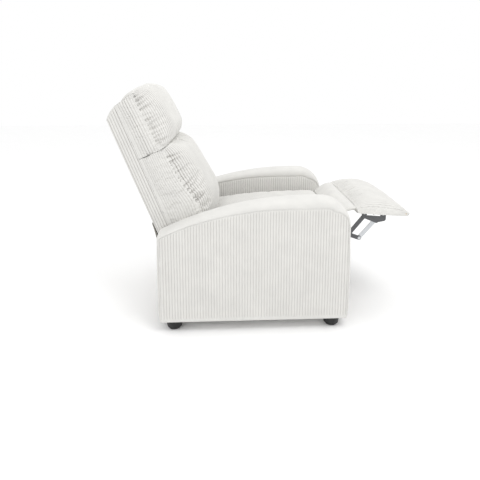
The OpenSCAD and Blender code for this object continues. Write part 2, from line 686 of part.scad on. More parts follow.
arm_cover(LEFT);  // arm_cover_left
arm_cover(RIGHT);  // arm_cover_right
arm_frame(LEFT);  // arm_frame_left
arm_frame(RIGHT);  // arm_frame_right
base_plate(LEFT);  // base_plate_left
base_plate(RIGHT);  // base_plate_right
slide_rail(LEFT);  // slide_rail_left
slide_rail(RIGHT);  // slide_rail_right
cross_rail(cross_rail_y[0]);  // cross_rail_front
cross_rail(cross_rail_y[1]);  // cross_rail_rear
corner_brackets();
arm_bolts();
foot(LEFT, -1);  // foot_front_left
foot(RIGHT, -1);  // foot_front_right
foot(LEFT, 1);  // foot_rear_left
foot(RIGHT, 1);  // foot_rear_right
foot_screws();
recline_pins();
rear_curtain();
seat_rail_side(LEFT);  // seat_rail_left
seat_rail_side(RIGHT);  // seat_rail_right
seat_rail_cross(-seat_front);  // seat_rail_front
seat_rail_cross(seat_rear - rail_t);  // seat_rail_rear
seat_springs();
spring_clips();
seat_cushion();
seat_front_panel();
seat_dust_cover();
seat_plate(LEFT);  // seat_plate_left
seat_plate(RIGHT);  // seat_plate_right
glide_blocks();
seat_plate_bolts();
seat_pivots();
back_frame();
back_shell();
back_straps();
lumbar_cushion();
head_pillow();
back_bracket(LEFT);  // back_bracket_left
back_bracket(RIGHT);  // back_bracket_right
back_bolts();
drive_pins();
footrest_board();
footrest_pad();
footrest_flap();
footrest_bracket(LEFT);  // footrest_bracket_left
footrest_bracket(RIGHT);  // footrest_bracket_right
footrest_screws();
lift_link(LEFT);  // lift_link_left
lift_link(RIGHT);  // lift_link_right
lift_pivots();
cross_link(LEFT);  // cross_link_left
cross_link(RIGHT);  // cross_link_right
cross_link_rivets();
brace_link(LEFT);  // brace_link_left
brace_link(RIGHT);  // brace_link_right
crank(LEFT);  // crank_left
crank(RIGHT);  // crank_right
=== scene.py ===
"""Looks of a push-back recliner armchair: ribbed ivory corduroy over foam, on a folding steel mechanism.

Metres, +Z up, the chair faces -Y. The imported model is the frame, and every soft solid in it is
replaced here by a sewn and stuffed piece.
"""

import math

import bmesh
import bpy
import numpy as np
from mathutils import Matrix, Vector
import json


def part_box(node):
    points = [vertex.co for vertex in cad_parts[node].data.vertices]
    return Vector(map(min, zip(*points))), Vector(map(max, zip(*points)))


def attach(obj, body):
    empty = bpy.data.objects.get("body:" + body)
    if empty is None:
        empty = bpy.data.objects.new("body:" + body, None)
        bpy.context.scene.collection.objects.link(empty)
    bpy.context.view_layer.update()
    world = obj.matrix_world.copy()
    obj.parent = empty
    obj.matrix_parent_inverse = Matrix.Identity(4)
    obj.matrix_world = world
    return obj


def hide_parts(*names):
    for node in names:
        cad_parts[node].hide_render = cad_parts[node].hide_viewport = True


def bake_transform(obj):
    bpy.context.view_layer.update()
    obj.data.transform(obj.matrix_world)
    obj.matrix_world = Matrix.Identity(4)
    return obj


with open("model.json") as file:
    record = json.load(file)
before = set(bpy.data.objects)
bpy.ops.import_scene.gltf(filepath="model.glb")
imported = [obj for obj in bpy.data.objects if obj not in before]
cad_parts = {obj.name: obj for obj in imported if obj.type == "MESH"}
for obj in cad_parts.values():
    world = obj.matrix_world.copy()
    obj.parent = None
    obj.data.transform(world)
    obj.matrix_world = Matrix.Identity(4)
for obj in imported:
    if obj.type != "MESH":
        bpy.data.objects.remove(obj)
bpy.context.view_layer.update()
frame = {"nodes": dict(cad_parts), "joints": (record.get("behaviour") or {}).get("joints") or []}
for shown in bpy.context.selected_objects:
    shown.select_set(False)

MM = 0.001
RIB_PITCH = 11.3 * MM  # one wale of wide corduroy
RIB_DEPTH = 3.0 * MM
CELL = RIB_PITCH * 0.8  # side of a cloth cell while it is inflated
SAME = 2e-5  # points this close are one, in metres
FINER = 4  # each cell is cut this many times each way for its ribs


# ---------- camera, floor and lights ----------


def aim(obj, place, look, right):
    """Puts obj at place so that it looks along look with its own X along right."""
    look, right = Vector(look).normalized(), Vector(right).normalized()
    up = right.cross(look)
    turn = Matrix((right, up, -look)).transposed().to_4x4()
    obj.matrix_world = Matrix.Translation(Vector(place)) @ turn


def add_camera():
    data = bpy.data.cameras.new("side_view")
    data.lens = 33.7
    data.shift_y = -0.2
    camera = bpy.data.objects.new("side_view", data)
    bpy.context.scene.collection.objects.link(camera)
    yaw, pitch = math.radians(-2.7), math.radians(9.1)
    look = (math.cos(pitch) * math.cos(yaw), math.cos(pitch) * math.sin(yaw), -math.sin(pitch))
    aim(camera, (-2.035, 0.139, 1.052), look, (math.sin(yaw), -math.cos(yaw), 0))
    bpy.context.scene.camera = camera


def add_light(name, place, target, size, watts):
    data = bpy.data.lights.new(name, "AREA")
    data.shape = "RECTANGLE"
    data.size, data.size_y = size
    data.energy = watts
    lamp = bpy.data.objects.new(name, data)
    bpy.context.scene.collection.objects.link(lamp)
    look = Vector(target) - Vector(place)
    right = look.cross(Vector((0, 0, 1)))
    if right.length < 1e-3:
        right = Vector((1, 0, 0))
    aim(lamp, place, look, right)


# ---------- materials ----------


def linear(text):
    """An sRGB hex colour as linear RGBA."""
    parts = [int(text[i : i + 2], 16) / 255 for i in (1, 3, 5)]
    return [p / 12.92 if p <= 0.04045 else ((p + 0.055) / 1.055) ** 2.4 for p in parts] + [1.0]


def node(tree, kind, settings=None, **inputs):
    """Adds a node. settings are its properties; inputs are values or the sockets that feed them."""
    made = tree.nodes.new(kind)
    for key, value in (settings or {}).items():
        setattr(made, key, value)
    for key, value in inputs.items():
        socket = made.inputs[int(key[1:])] if key[0] == "_" else made.inputs[key.replace("_", " ")]
        if isinstance(value, bpy.types.NodeSocket):
            tree.links.new(value, socket)
        else:
            socket.default_value = value
    return made


def new_material(name, **shader):
    """A material with one Principled shader, its tree, that shader and Object coordinates."""
    material = bpy.data.materials.new(name)
    material.use_nodes = True
    tree = material.node_tree
    bsdf = tree.nodes["Principled BSDF"]
    for key, value in shader.items():
        bsdf.inputs[key.replace("_", " ")].default_value = value
    place = node(tree, "ShaderNodeTexCoord").outputs["Object"]
    return material, tree, bsdf, place


def two_tone(tree, factor, low, high):
    """A colour between two hex values."""
    mix = node(tree, "ShaderNodeMix", {"data_type": "RGBA"})
    tree.links.new(factor, mix.inputs[0])
    mix.inputs[6].default_value = linear(low)
    mix.inputs[7].default_value = linear(high)
    return mix.outputs[2]


def corduroy():
    """Cotton-blend corduroy, cut pile: bright rounded wales with soft nap, and a darker colour between them
    that is painted shade in the grooves.
    """
    material, tree, bsdf, place = new_material(
        "ivory_corduroy", Roughness=0.9, Sheen_Weight=0.25, Sheen_Roughness=0.45, Specular_IOR_Level=0.2
    )
    pile = node(tree, "ShaderNodeAttribute", {"attribute_name": "pile"}).outputs["Fac"]
    rise = node(tree, "ShaderNodeMapRange", Value=pile, From_Min=0.0, From_Max=0.75).outputs[0]
    # Nap lies a little differently from hand to hand, over patches of about 60 mm
    brushed = node(tree, "ShaderNodeTexNoise", Vector=place, Scale=1 / 0.06, Detail=3.0).outputs[0]
    tuft = node(tree, "ShaderNodeTexNoise", Vector=place, Scale=1 / 0.0016, Detail=2.0).outputs[0]
    ivory = two_tone(tree, brushed, "#CECDCA", "#DEDDD9")
    # Painted shade: the darker colour mixed into the grooves between the wales where the pile attribute is
    # low
    groove_shade = two_tone(tree, tuft, "#979390", "#A8A5A0")
    mix = node(tree, "ShaderNodeMix", {"data_type": "RGBA"})
    tree.links.new(rise, mix.inputs[0])
    tree.links.new(groove_shade, mix.inputs[6])
    tree.links.new(ivory, mix.inputs[7])
    tree.links.new(mix.outputs[2], bsdf.inputs["Base Color"])
    bump = node(tree, "ShaderNodeBump", Strength=0.35, Distance=0.0006, Height=tuft)
    tree.links.new(bump.outputs[0], bsdf.inputs["Normal"])
    return material


def woven(name, low, high, thread, roughness=0.85, strength=0.3):
    """A plain weave: two sets of threads a fixed distance apart, on the cloth's own coordinates."""
    material, tree, bsdf, place = new_material(name, Roughness=roughness, Specular_IOR_Level=0.25)
    waves = [
        node(
            tree, "ShaderNodeTexWave", {"bands_direction": way}, Vector=place,
            Scale=2 * math.pi / 20 / thread, Distortion=0.6, Detail=1.0,
        ).outputs[1]
        for way in ("X", "Z")
    ]
    height = node(tree, "ShaderNodeMath", {"operation": "MULTIPLY"}, _0=waves[0], _1=waves[1]).outputs[0]
    patch = node(tree, "ShaderNodeTexNoise", Vector=place, Scale=1 / 0.04, Detail=3.0).outputs[0]
    tone = node(tree, "ShaderNodeMath", {"operation": "MULTIPLY_ADD"}, _0=height, _1=0.5, _2=patch).outputs[0]
    tree.links.new(two_tone(tree, tone, low, high), bsdf.inputs["Base Color"])
    bump = node(tree, "ShaderNodeBump", Strength=strength, Distance=0.0005, Height=height)
    tree.links.new(bump.outputs[0], bsdf.inputs["Normal"])
    return material


def metal(name, low, high, roughness, grain, coat=0.0, metallic=1.0):
    """Sheet steel. Colour and gloss vary over patches, and a fine grain breaks up its reflections."""
    material, tree, bsdf, place = new_material(name, Metallic=metallic, Coat_Weight=coat, Coat_Roughness=0.25)
    patch = node(tree, "ShaderNodeTexNoise", Vector=place, Scale=1 / 0.03, Detail=4.0).outputs[0]
    tree.links.new(two_tone(tree, patch, low, high), bsdf.inputs["Base Color"])
    gloss = node(tree, "ShaderNodeMapRange", Value=patch, To_Min=roughness - 0.08, To_Max=roughness + 0.1)
    tree.links.new(gloss.outputs[0], bsdf.inputs["Roughness"])
    fine = node(tree, "ShaderNodeTexNoise", Vector=place, Scale=1 / grain, Detail=2.0).outputs[0]
    bump = node(tree, "ShaderNodeBump", Strength=0.15, Distance=0.0003, Height=fine)
    tree.links.new(bump.outputs[0], bsdf.inputs["Normal"])
    return material


def softwood():
    """Sawn pine: pale early wood, darker late-wood lines some 5 mm apart, dull and slightly rough."""
    material, tree, bsdf, place = new_material("sawn_pine", Roughness=0.7)
    along = node(tree, "ShaderNodeMapping", Vector=place, Scale=(1.0, 0.06, 0.5)).outputs[0]
    rings = node(
        tree, "ShaderNodeTexWave", {"wave_type": "RINGS", "rings_direction": "Y"}, Vector=along,
        Scale=2 * math.pi / 20 / 0.005, Distortion=6.0, Detail=3.0, Detail_Scale=0.4,
    ).outputs[1]
    tree.links.new(two_tone(tree, rings, "#B89B76", "#D6C4A6"), bsdf.inputs["Base Color"])
    fibre = node(tree, "ShaderNodeTexNoise", Vector=along, Scale=1 / 0.0012, Detail=3.0).outputs[0]
    bump = node(tree, "ShaderNodeBump", Strength=0.25, Distance=0.0004, Height=fibre)
    tree.links.new(bump.outputs[0], bsdf.inputs["Normal"])
    return material


def moulded(name, low, high, roughness):
    """Injection-moulded plastic with the fine spark texture of its mould."""
    material, tree, bsdf, place = new_material(name, IOR=1.49)
    patch = node(tree, "ShaderNodeTexNoise", Vector=place, Scale=1 / 0.02, Detail=2.0).outputs[0]
    tree.links.new(two_tone(tree, patch, low, high), bsdf.inputs["Base Color"])
    spark = node(tree, "ShaderNodeTexNoise", Vector=place, Scale=1 / 0.0007, Detail=1.0).outputs[0]
    gloss = node(tree, "ShaderNodeMapRange", Value=spark, To_Min=roughness - 0.06, To_Max=roughness + 0.06)
    tree.links.new(gloss.outputs[0], bsdf.inputs["Roughness"])
    bump = node(tree, "ShaderNodeBump", Strength=0.2, Distance=0.0003, Height=spark)
    tree.links.new(bump.outputs[0], bsdf.inputs["Normal"])
    return material


# ---------- sewn shells ----------


class Shell:
    """Grids of points that share their edges, and become one sewn skin."""

    def __init__(self):
        self.panels = []

    def add(self, points, rib=None, ribbed=0.0):
        """points is rows x columns x 3. rib is the distance across the wales, ribbed how deep they are."""
        points = np.asarray(points, float)
        rows, columns = points.shape[:2]
        rib = np.zeros((rows, columns)) if rib is None else np.broadcast_to(rib, (rows, columns))
        ribbed = np.broadcast_to(ribbed, (rows, columns))
        self.panels.append([points, np.array(rib, float), np.array(ribbed, float)])

    def weld(self):
        """Points without doubles, quads, and each panel's point numbers."""
        flat = np.concatenate([p[0].reshape(-1, 3) for p in self.panels])
        _, first, inverse = np.unique(
            np.round(flat / SAME).astype(np.int64), axis=0, return_index=True, return_inverse=True
        )
        inverse = inverse.reshape(-1)
        quads, maps, start = [], [], 0
        for points, _, _ in self.panels:
            rows, columns = points.shape[:2]
            ids = inverse[start : start + rows * columns].reshape(rows, columns)
            start += rows * columns
            maps.append(ids)
            quads.append(
                np.stack([ids[:-1, :-1], ids[:-1, 1:], ids[1:, 1:], ids[1:, :-1]], -1).reshape(-1, 4)
            )
        return flat[first], np.concatenate(quads), maps

    def finer(self, k):
        """Cuts every cell k times each way, on smooth curves through the points."""
        for panel in self.panels:
            down, across = smooth_weights(panel[0].shape[0], k), smooth_weights(panel[0].shape[1], k)
            panel[0] = np.einsum("iac,bi->bac", np.einsum("ijc,bj->ibc", panel[0], across), down)
            for i in (1, 2):
                down, across = (line_weights(n, k) for n in panel[i].shape)
                panel[i] = down @ panel[i] @ across.T

    def mesh(self, name, close=True):
        """The skin as an object with its wales pressed in, and the pile height as an attribute that the
        material uses to paint shade into the grooves.
        """
        points, quads, maps = self.weld()
        rib, ribbed = np.zeros(len(points)), np.full(len(points), np.inf)
        for ids, (_, r, w) in zip(maps, self.panels):
            rib[ids.ravel()] = r.ravel()
            np.minimum.at(ribbed, ids.ravel(), w.ravel())
        obj = make_object(name, points, quads, close)
        rise = np.abs(np.cos(np.pi * rib / RIB_PITCH)) ** 0.5
        count = len(points)
        normals = np.zeros(len(obj.data.vertices) * 3, np.float32)
        obj.data.vertex_normals.foreach_get("vector", normals)
        co = np.zeros(len(obj.data.vertices) * 3, np.float32)
        obj.data.vertices.foreach_get("co", co)
        co, normals = co.reshape(-1, 3), normals.reshape(-1, 3)
        co[:count] += normals[:count] * ((rise - 1) * ribbed * RIB_DEPTH)[:, None]
        obj.data.vertices.foreach_set("co", co.ravel())
        # Pile height: 1 on the crests and lower in the grooves, where the material paints shade
        pile = obj.data.attributes.new("pile", "FLOAT", "POINT")
        shade = np.ones(len(co), np.float32)
        shade[:count] = 1 + (rise - 1) * ribbed
        pile.data.foreach_set("value", shade)
        obj.data.update()
        return obj


def smooth_weights(n, k):
    """Weights that turn n points on a line into (n - 1) k + 1 on a smooth curve through them."""
    w = np.zeros(((n - 1) * k + 1, n))
    for i in range(len(w)):
        j, t = divmod(i, k)
        t /= k
        shares = (
            (-t + 2 * t * t - t**3) / 2, (2 - 5 * t * t + 3 * t**3) / 2,
            (t + 4 * t * t - 3 * t**3) / 2, (t**3 - t * t) / 2,
        )
        for q, share in zip(range(j - 1, j + 3), shares):
            if q < 0:
                w[i, 0] += 2 * share
                w[i, 1] -= share
            elif q > n - 1:
                w[i, n - 1] += (q - n + 2) * share
                w[i, n - 2] -= (q - n + 1) * share
            else:
                w[i, q] += share
    return w


def line_weights(n, k):
    """The same with straight lines between the points."""
    w = np.zeros(((n - 1) * k + 1, n))
    for i in range(len(w)):
        j, t = divmod(i, k)
        w[i, j] += 1 - t / k
        if t:
            w[i, j + 1] += t / k
    return w


def make_object(name, points, faces, close=True):
    mesh = bpy.data.meshes.new(name)
    mesh.from_pydata(np.asarray(points).tolist(), [], np.asarray(faces).tolist())
    bm = bmesh.new()
    bm.from_mesh(mesh)
    if close:
        close_openings(bm)
    bmesh.ops.recalc_face_normals(bm, faces=bm.faces)
    for face in bm.faces:
        face.smooth = True
    bm.to_mesh(mesh)
    bm.free()
    mesh.update()
    obj = bpy.data.objects.new(name, mesh)
    bpy.context.scene.collection.objects.link(obj)
    return obj


def close_openings(bm):
    """Closes each opening with a fan round a point at its middle."""
    loose = {e for e in bm.edges if e.is_boundary}
    while loose:
        edge = loose.pop()
        ring = [edge.verts[0], edge.verts[1]]
        while ring[-1] is not ring[0]:
            onward = [e for e in ring[-1].link_edges if e in loose]
            if not onward:
                break
            loose.discard(onward[0])
            ring.append(onward[0].other_vert(ring[-1]))
        if ring[-1] is not ring[0] or len(ring) < 4:
            continue
        ring.pop()
        centre = bm.verts.new(sum((v.co for v in ring), Vector()) / len(ring))
        for a, b in zip(ring, ring[1:] + ring[:1]):
            bm.faces.new((a, b, centre))


def running_length(points):
    """Length of a broken line up to each of its points."""
    return np.concatenate([[0], np.cumsum(np.linalg.norm(np.diff(points, axis=0), axis=1))])


def spline(knots, t):
    """Smooth curve through knots, each a row of numbers, at the shares t of its length."""
    knots = np.asarray(knots, float)
    fine = smooth_weights(len(knots), 24) @ knots
    length = running_length(fine)
    at = np.asarray(t) * length[-1]
    return np.stack([np.interp(at, length, fine[:, i]) for i in range(fine.shape[1])], -1)


def inflate(shell, held, pressure=4.0, slack=0.03, cap=0.012, frames=20):
    """Blows the sewn skin up as cloth. held(points) is 1 where sewing or a neighbour holds it."""
    points, quads, maps = shell.weld()
    obj = make_object("inflating", points, quads)
    pins = obj.vertex_groups.new(name="held")
    share = held(points)
    for i, s in enumerate(share):
        if s > 0:
            pins.add([i], float(s), "REPLACE")
    cloth = obj.modifiers.new("cloth", "CLOTH")
    settings = cloth.settings
    settings.quality = 6
    settings.mass = 0.25
    settings.tension_stiffness = settings.compression_stiffness = 12
    settings.shear_stiffness = 4
    settings.bending_stiffness = 0.4
    settings.air_damping = 3
    settings.use_pressure = True
    settings.uniform_pressure_force = pressure
    settings.shrink_min = -slack
    settings.vertex_group_mass = "held"
    settings.effector_weights.gravity = 0
    cloth.collision_settings.use_collision = False
    scene = bpy.context.scene
    for f in range(1, frames + 1):
        scene.frame_set(f)
    blown = obj.evaluated_get(bpy.context.evaluated_depsgraph_get())
    co = np.zeros(len(blown.data.vertices) * 3, np.float32)
    blown.data.vertices.foreach_get("co", co)
    move = co.reshape(-1, 3)[: len(points)] - points
    size = np.linalg.norm(move, axis=1, keepdims=True)
    points = points + move * np.minimum(1, cap / np.maximum(size, 1e-9))
    bpy.data.objects.remove(obj)
    scene.frame_set(1)
    for ids, panel in zip(maps, shell.panels):
        panel[0] = points[ids]


# ---------- the arms ----------

ARM_CROWN, ARM_FRONT, ARM_REAR = 1407, 120, 25  # radii of an arm's upper outline, in millimetres
ARM_LIP = 8  # height at which that outline starts and ends
ARM_SIDE = 380  # usual height of an arm's flat side
ARM_ROLL = ((-330, 38), (-250, 44), (-175, 43), (40, 29), (254, 16), (367, 13))  # y, depth of the roll
ARM_ROLL_LEAST = 13  # depth of the roll down the arm's ends


def arm_sizes():
    """Low and high corner of the right arm, in millimetres."""
    low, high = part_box("arm_cover_right")
    return low / MM, high / MM


def arc(centre, radius, angles):
    return [(centre[0] + radius * math.cos(a), centre[1] + radius * math.sin(a)) for a in angles]


def arm_edge_curve():
    """Upper outline of an arm in the YZ plane, in millimetres, from low on its front to low on its rear."""
    low, high = arm_sizes()
    crown_y, crown_z = -0.3 * (high.y - low.y), high.z - ARM_CROWN
    corners = []
    for y, r in ((low.y + ARM_FRONT, ARM_FRONT), (high.y - ARM_REAR, ARM_REAR)):
        z = crown_z + math.sqrt((ARM_CROWN - r) ** 2 - (y - crown_y) ** 2)
        corners.append(((y, z), math.atan2(z - crown_z, y - crown_y)))
    (front, front_end), (rear, rear_start) = corners
    curve = [(low.y, z) for z in np.linspace(low.z + ARM_LIP, front[1], 30)[:-1]]
    curve += arc(front, ARM_FRONT, np.linspace(math.pi, front_end, 40))
    curve += arc((crown_y, crown_z), ARM_CROWN, np.linspace(front_end, rear_start, 120)[1:])
    curve += arc(rear, ARM_REAR, np.linspace(rear_start, 0, 12)[1:])
    curve += [(high.y, z) for z in np.linspace(rear[1], low.z + ARM_LIP, 30)[1:]]
    return np.array(curve)


def arm_seam_curve(edge):
    """The seam below the roll: deep under the crest, and near the outline down the ends."""
    step = np.gradient(edge, axis=0)
    normal = np.stack([-step[:, 1], step[:, 0]], 1)
    normal /= np.linalg.norm(normal, axis=1, keepdims=True)
    crest = np.interp(edge[:, 0], *np.transpose(ARM_ROLL))
    turned = np.degrees(np.arctan2(normal[:, 1], -normal[:, 0]))
    depth = ARM_ROLL_LEAST + (crest - ARM_ROLL_LEAST) * np.clip((turned - 22) / 30, 0, 1)
    return edge - normal * depth[:, None]


def arm_columns(edge, seam):
    """Columns of the flat side, a sixth of a wale apart, with their ends on the seam and on the outline."""
    y0, y1 = seam[:, 0].min(), seam[:, 0].max()
    columns = np.arange(y0, y1, RIB_PITCH / MM / 6)
    columns[-1] = y1
    first = np.argmax(seam[:, 0] >= y0 + 0.01)
    last = len(seam) - 1 - np.argmax(seam[::-1, 0] <= y1 - 0.01)
    upper = [i for i in range(len(seam)) if seam[i, 1] > seam[0, 1] + 20 and first - 1 <= i <= last + 1]
    order = np.maximum.accumulate(seam[upper, 0] + np.arange(len(upper)) * 1e-4)
    at = np.interp(columns, order, np.arange(len(upper)))

    def take(table):
        return np.stack([np.interp(at, np.arange(len(upper)), table[upper, k]) for k in (0, 1)], 1)

    on_seam, on_edge = take(seam), take(edge)
    on_seam[:, 0] = columns
    return columns, on_seam, on_edge


def add_arm(name, side):
    """A padded arm: flat sides with upright wales, and a smooth band that rolls over the crest."""
    low, high = arm_sizes()
    middle, half, bottom = abs(low.x + high.x) / 2, (high.x - low.x) / 2, low.z
    edge = arm_edge_curve()
    columns, top_in, top_out = arm_columns(edge, arm_seam_curve(edge))
    y0, y1 = columns[0], columns[-1]
    foot_in = np.stack([columns, np.full(len(columns), bottom + 10)], 1)
    foot_y = np.interp(columns, [y0, y0 + 20, y1 - 20, y1], [low.y + 9, y0 + 22, y1 - 22, high.y - 9])
    foot_out = np.stack([foot_y, np.full(len(columns), bottom)], 1)
    # Rows of the flat side, closer together where it dips into the seam
    share = np.concatenate([[0], np.linspace(0.03, 0.9, 20), [0.94, 0.965, 0.98, 0.99, 1]])
    up = foot_in[None] * (1 - share[:, None, None]) + top_in[None] * share[:, None, None]
    ends = []
    for i, y_out, swell in ((0, low.y, -5), (-1, high.y, 2)):
        z = up[:, i, 1]
        puff = swell * np.sin(np.pi * np.clip((z - bottom) / 330, 0, 1)) ** 0.7
        out = np.stack([np.full(len(z), y_out) + puff, z], 1)
        out[0] = foot_out[i]
        out[1] = out[1] * 0.7 + foot_out[i] * 0.3
        out[-1] = top_out[i]
        ends.append((up[:, i], out))

    def bulge(yz):
        """How far the foam under the flat side stands out, in millimetres."""
        y, z = yz[..., 0], yz[..., 1]
        s = np.clip((y - y0) / (y1 - y0), 0, 1)
        t = np.clip((z - bottom) / ARM_SIDE, 0, 1)
        uneven = 0.8 * np.sin(y / 41) * np.sin(z / 57 + 1)
        return 5 * np.sin(np.pi * s) ** 0.5 * np.sin(np.pi * t) ** 0.6 + uneven

    def place(x, yz):
        """World points of the local depth x from the middle of the arm."""
        return np.stack([side * (middle + x) * np.ones(yz.shape[:-1]), yz[..., 0], yz[..., 1]], -1) * MM

    shell = Shell()
    seam_dip = 3.2 * np.exp(-(((1 - share) * ARM_SIDE / 5) ** 2))[:, None]
    off_foot = np.clip(share * ARM_SIDE / 12, 0, 1)
    fade = np.clip((1 - share) * ARM_SIDE / 6, 0, 1)[:, None] * off_foot[:, None]
    turn = np.radians(np.linspace(0, 90, 25))
    # What rolls over from each flat side to the middle of the arm, and how square that roll is
    rolls = (
        ("band", top_in, top_out, 2.4), ("foot", foot_in, foot_out, 4.0),
        ("front", *ends[0], 3.0), ("rear", *ends[1], 3.0),
    )
    done = {}
    # The outer side is fuller, and the inner one leaves the footrest its room
    for face, fullness in ((1, 0.8), (-1, 0.2)):
        flat_x = face * (half - seam_dip + bulge(up) * fade * fullness)
        shell.add(place(flat_x, up), columns[None, :] * MM, fade)
        for kind, inside, outside, square in rolls:
            c, s = np.cos(turn) ** (2 / square), np.sin(turn) ** (2 / square)
            yz = inside[None] + (outside - inside)[None] * s[:, None, None]
            x = face * half * np.repeat(c[:, None], len(inside), 1)
            dip = {"band": seam_dip[-1, 0], "foot": seam_dip[0, 0]}.get(kind, seam_dip[:, 0])
            x[0] = face * (half - dip)
            if kind == "band":
                x += face * 3.5 * (np.abs(np.sin(2 * turn)) ** 0.8 * (turn > 0) * (turn < 1.5))[:, None]
            x[-1] = 0
            done[kind] = x, yz
            gathered = kind in ("band", "foot")
            if not gathered:
                i = 0 if kind == "front" else -1
                for column, other in ((0, "foot"), (-1, "band")):
                    x[:, column], yz[:, column] = done[other][0][:, i], done[other][1][:, i]
            gap = np.linalg.norm(np.diff(np.concatenate([x[..., None], yz], -1), axis=0), axis=-1)
            across = np.concatenate([np.zeros((1, len(inside))), np.cumsum(gap, 0)]) * MM
            weight = np.zeros_like(across)
            if not gathered:
                weight[:] = np.clip(across / MM / 5, 0, 1) * off_foot[None, :]
                weight *= np.clip((1 - share) * 8, 0, 1)[None, :]
            shell.add(place(x, yz), across, weight)
    return shell.mesh(name)


# ---------- cushions ----------

PIN = Vector(next(j for j in frame["joints"] if j["name"] == "back_recline")["pos_m"]) / MM
TILT = math.radians(21.8)  # the upright back leans back this far
CUSHION_HALF = 232  # half the width of the seat and of the back, in millimetres

# Lines of the back's cushions in its side view, as (forward, up the slope) in millimetres
PILLOW_BASE = [(50.5, 500), (50.5, 580), (49, 660), (44, 733)]
PILLOW_SEAM = [(143, 503), (141, 560), (138, 620), (134, 690), (131, 753)]
PILLOW_MIDDLE = [
    (197, 513), (222, 530), (231, 572), (229, 625), (224, 676), (212, 728), (190, 766), (160, 775),
    (134, 766),
]
LUMBAR_BASE = [(50.5, 168), (50.5, 280), (50.5, 390), (50.5, 499)]
LUMBAR_SEAM = [(190, 176), (194, 257), (178, 320), (166, 374), (161, 430), (156, 498)]
LUMBAR_MIDDLE = [
    (238, 130), (262, 182), (272, 243), (266, 299), (258, 356), (249, 420), (233, 478), (205, 512),
]
# Lines of the level cushions in the side view, as (y, z) in millimetres
SEAT_BASE = [(-318, 345), (-322, 344), (-316, 343), (-200, 340), (0, 338), (150, 337), (280, 337)]
SEAT_SEAM = [
    (-325, 349), (-352, 360), (-368, 388), (-358, 414), (-325, 426), (-150, 414), (0, 404), (150, 391),
    (281, 372),
]
SEAT_MIDDLE = [
    (-325, 347), (-354, 358), (-371, 390), (-360, 426), (-325, 445), (-150, 448), (0, 438), (150, 415),
    (282, 380),
]
PAD_BASE = [(-442, 463.5), (-500, 459), (-580, 452.5), (-660, 446)]
PAD_SEAM = [(-441, 479), (-500, 480), (-580, 473), (-640, 465), (-668, 457)]
PAD_MIDDLE = [(-441, 487), (-470, 500), (-520, 508), (-580, 500), (-630, 483), (-670, 461)]
FLAP_TOP = [(-352, 441), (-375, 462), (-400, 479), (-425, 486), (-443, 484)]
FLAP_UNDER = [(-362, 436), (-382, 451), (-402, 464), (-424, 470), (-441, 471)]
CURTAIN_PATH = [(386, 48), (391, 110), (396, 200), (399, 280), (398, 336), (407, 385), (420, 431)]


def back_place(x, v, u):
    """World points of places on the back: x across, v forward and u up its slope, in millimetres."""
    y = PIN.y + u * math.sin(TILT) - v * math.cos(TILT)
    z = PIN.z + u * math.cos(TILT) + v * math.sin(TILT)
    return np.stack([x * np.ones_like(y), y, z], -1) * MM


def flat_place(x, y, z):
    """World points of x, y and z in millimetres."""
    return np.stack([x * np.ones_like(y), y, z], -1) * MM


def crown_section(half, rise, full, cell):
    """Across a crowned panel in even steps of its own length: x, share of the rise, and that length."""
    angle = np.linspace(-math.pi / 2, math.pi / 2, 400)
    x = np.sign(np.sin(angle)) * np.abs(np.sin(angle)) ** (2 / full) * half
    section = np.stack([x, np.cos(angle) ** (2 / full) * rise], 1)
    length = running_length(section)
    at = np.linspace(0, length[-1], int(round(length[-1] / cell / 2)) * 2 + 1)
    return np.interp(at, length, section[:, 0]), np.interp(at, length, section[:, 1]) / rise, at


def boxed_cushion(place, half, base, seam, middle, full=2.6, side_puff=4):
    """A crowned panel sewn to a boxing band round its four sides.

    base, seam and middle are lines in the cushion's side view: where the boxing starts, where it is
    sewn to the panel at either side, and the panel's own middle. place turns them to world points.
    """
    cell = CELL / MM
    rise = max(np.linalg.norm(np.subtract(middle, spline(seam, np.linspace(0, 1, len(middle)))), axis=1))
    xs, lift, at = crown_section(half, rise, full, cell)
    rib_x = ((at - at[-1] / 2) * MM)[None]
    middle_length = running_length(spline(middle, np.linspace(0, 1, 60)))[-1]
    t = np.linspace(0, 1, int(round(middle_length / cell)) + 1)
    b, s, m = spline(base, t), spline(seam, t), spline(middle, t)
    top = s[:, None] + (m - s)[:, None] * lift[None, :, None]
    to_side = np.minimum(at, at[-1] - at)
    to_edge = np.minimum.outer(np.minimum(t, 1 - t) * middle_length, to_side)
    shell = Shell()
    crown = place(xs[None] * np.ones(top.shape[:2]), *np.moveaxis(top, -1, 0))
    shell.add(crown, rib_x, np.clip(to_edge / cell, 0, 1))
    deep = np.linalg.norm(s - b, axis=1).max()
    d = np.linspace(0, 1, max(2, int(round(deep / cell))) + 1)
    near = np.clip(np.minimum(d, 1 - d) * deep / cell, 0, 1)
    boxing = b[:, None] + (s - b)[:, None] * d[None, :, None]
    puff = side_puff * np.sin(np.pi * d)[None] * np.abs(np.sin(np.pi * t))[:, None] ** 0.4
    for side in (-1, 1):
        shell.add(place(side * (half + puff), *np.moveaxis(boxing, -1, 0)), (d * deep * MM)[None], near[None])
    for row in (0, -1):
        line = b[row] + (top[row][None] - b[row]) * d[:, None, None]
        fade = near[:, None] * np.clip(to_side / cell, 0, 1)[None]
        shell.add(place(xs[None] * np.ones(line.shape[:2]), *np.moveaxis(line, -1, 0)), rib_x, fade)
    return shell


def line_distance(points, line):
    """Distance of each point from a broken line, and how far along it that is."""
    best, where, run = np.full(len(points), np.inf), np.zeros(len(points)), 0.0
    for a, b in zip(line[:-1], line[1:]):
        d = b - a
        size = np.linalg.norm(d)
        t = np.clip((points - a) @ d / size**2, 0, 1)
        gap = np.linalg.norm(points - a - t[:, None] * d, axis=1)
        closer = gap < best
        where[closer] = run + t[closer] * size
        best = np.minimum(best, gap)
        run += size
    return best, where


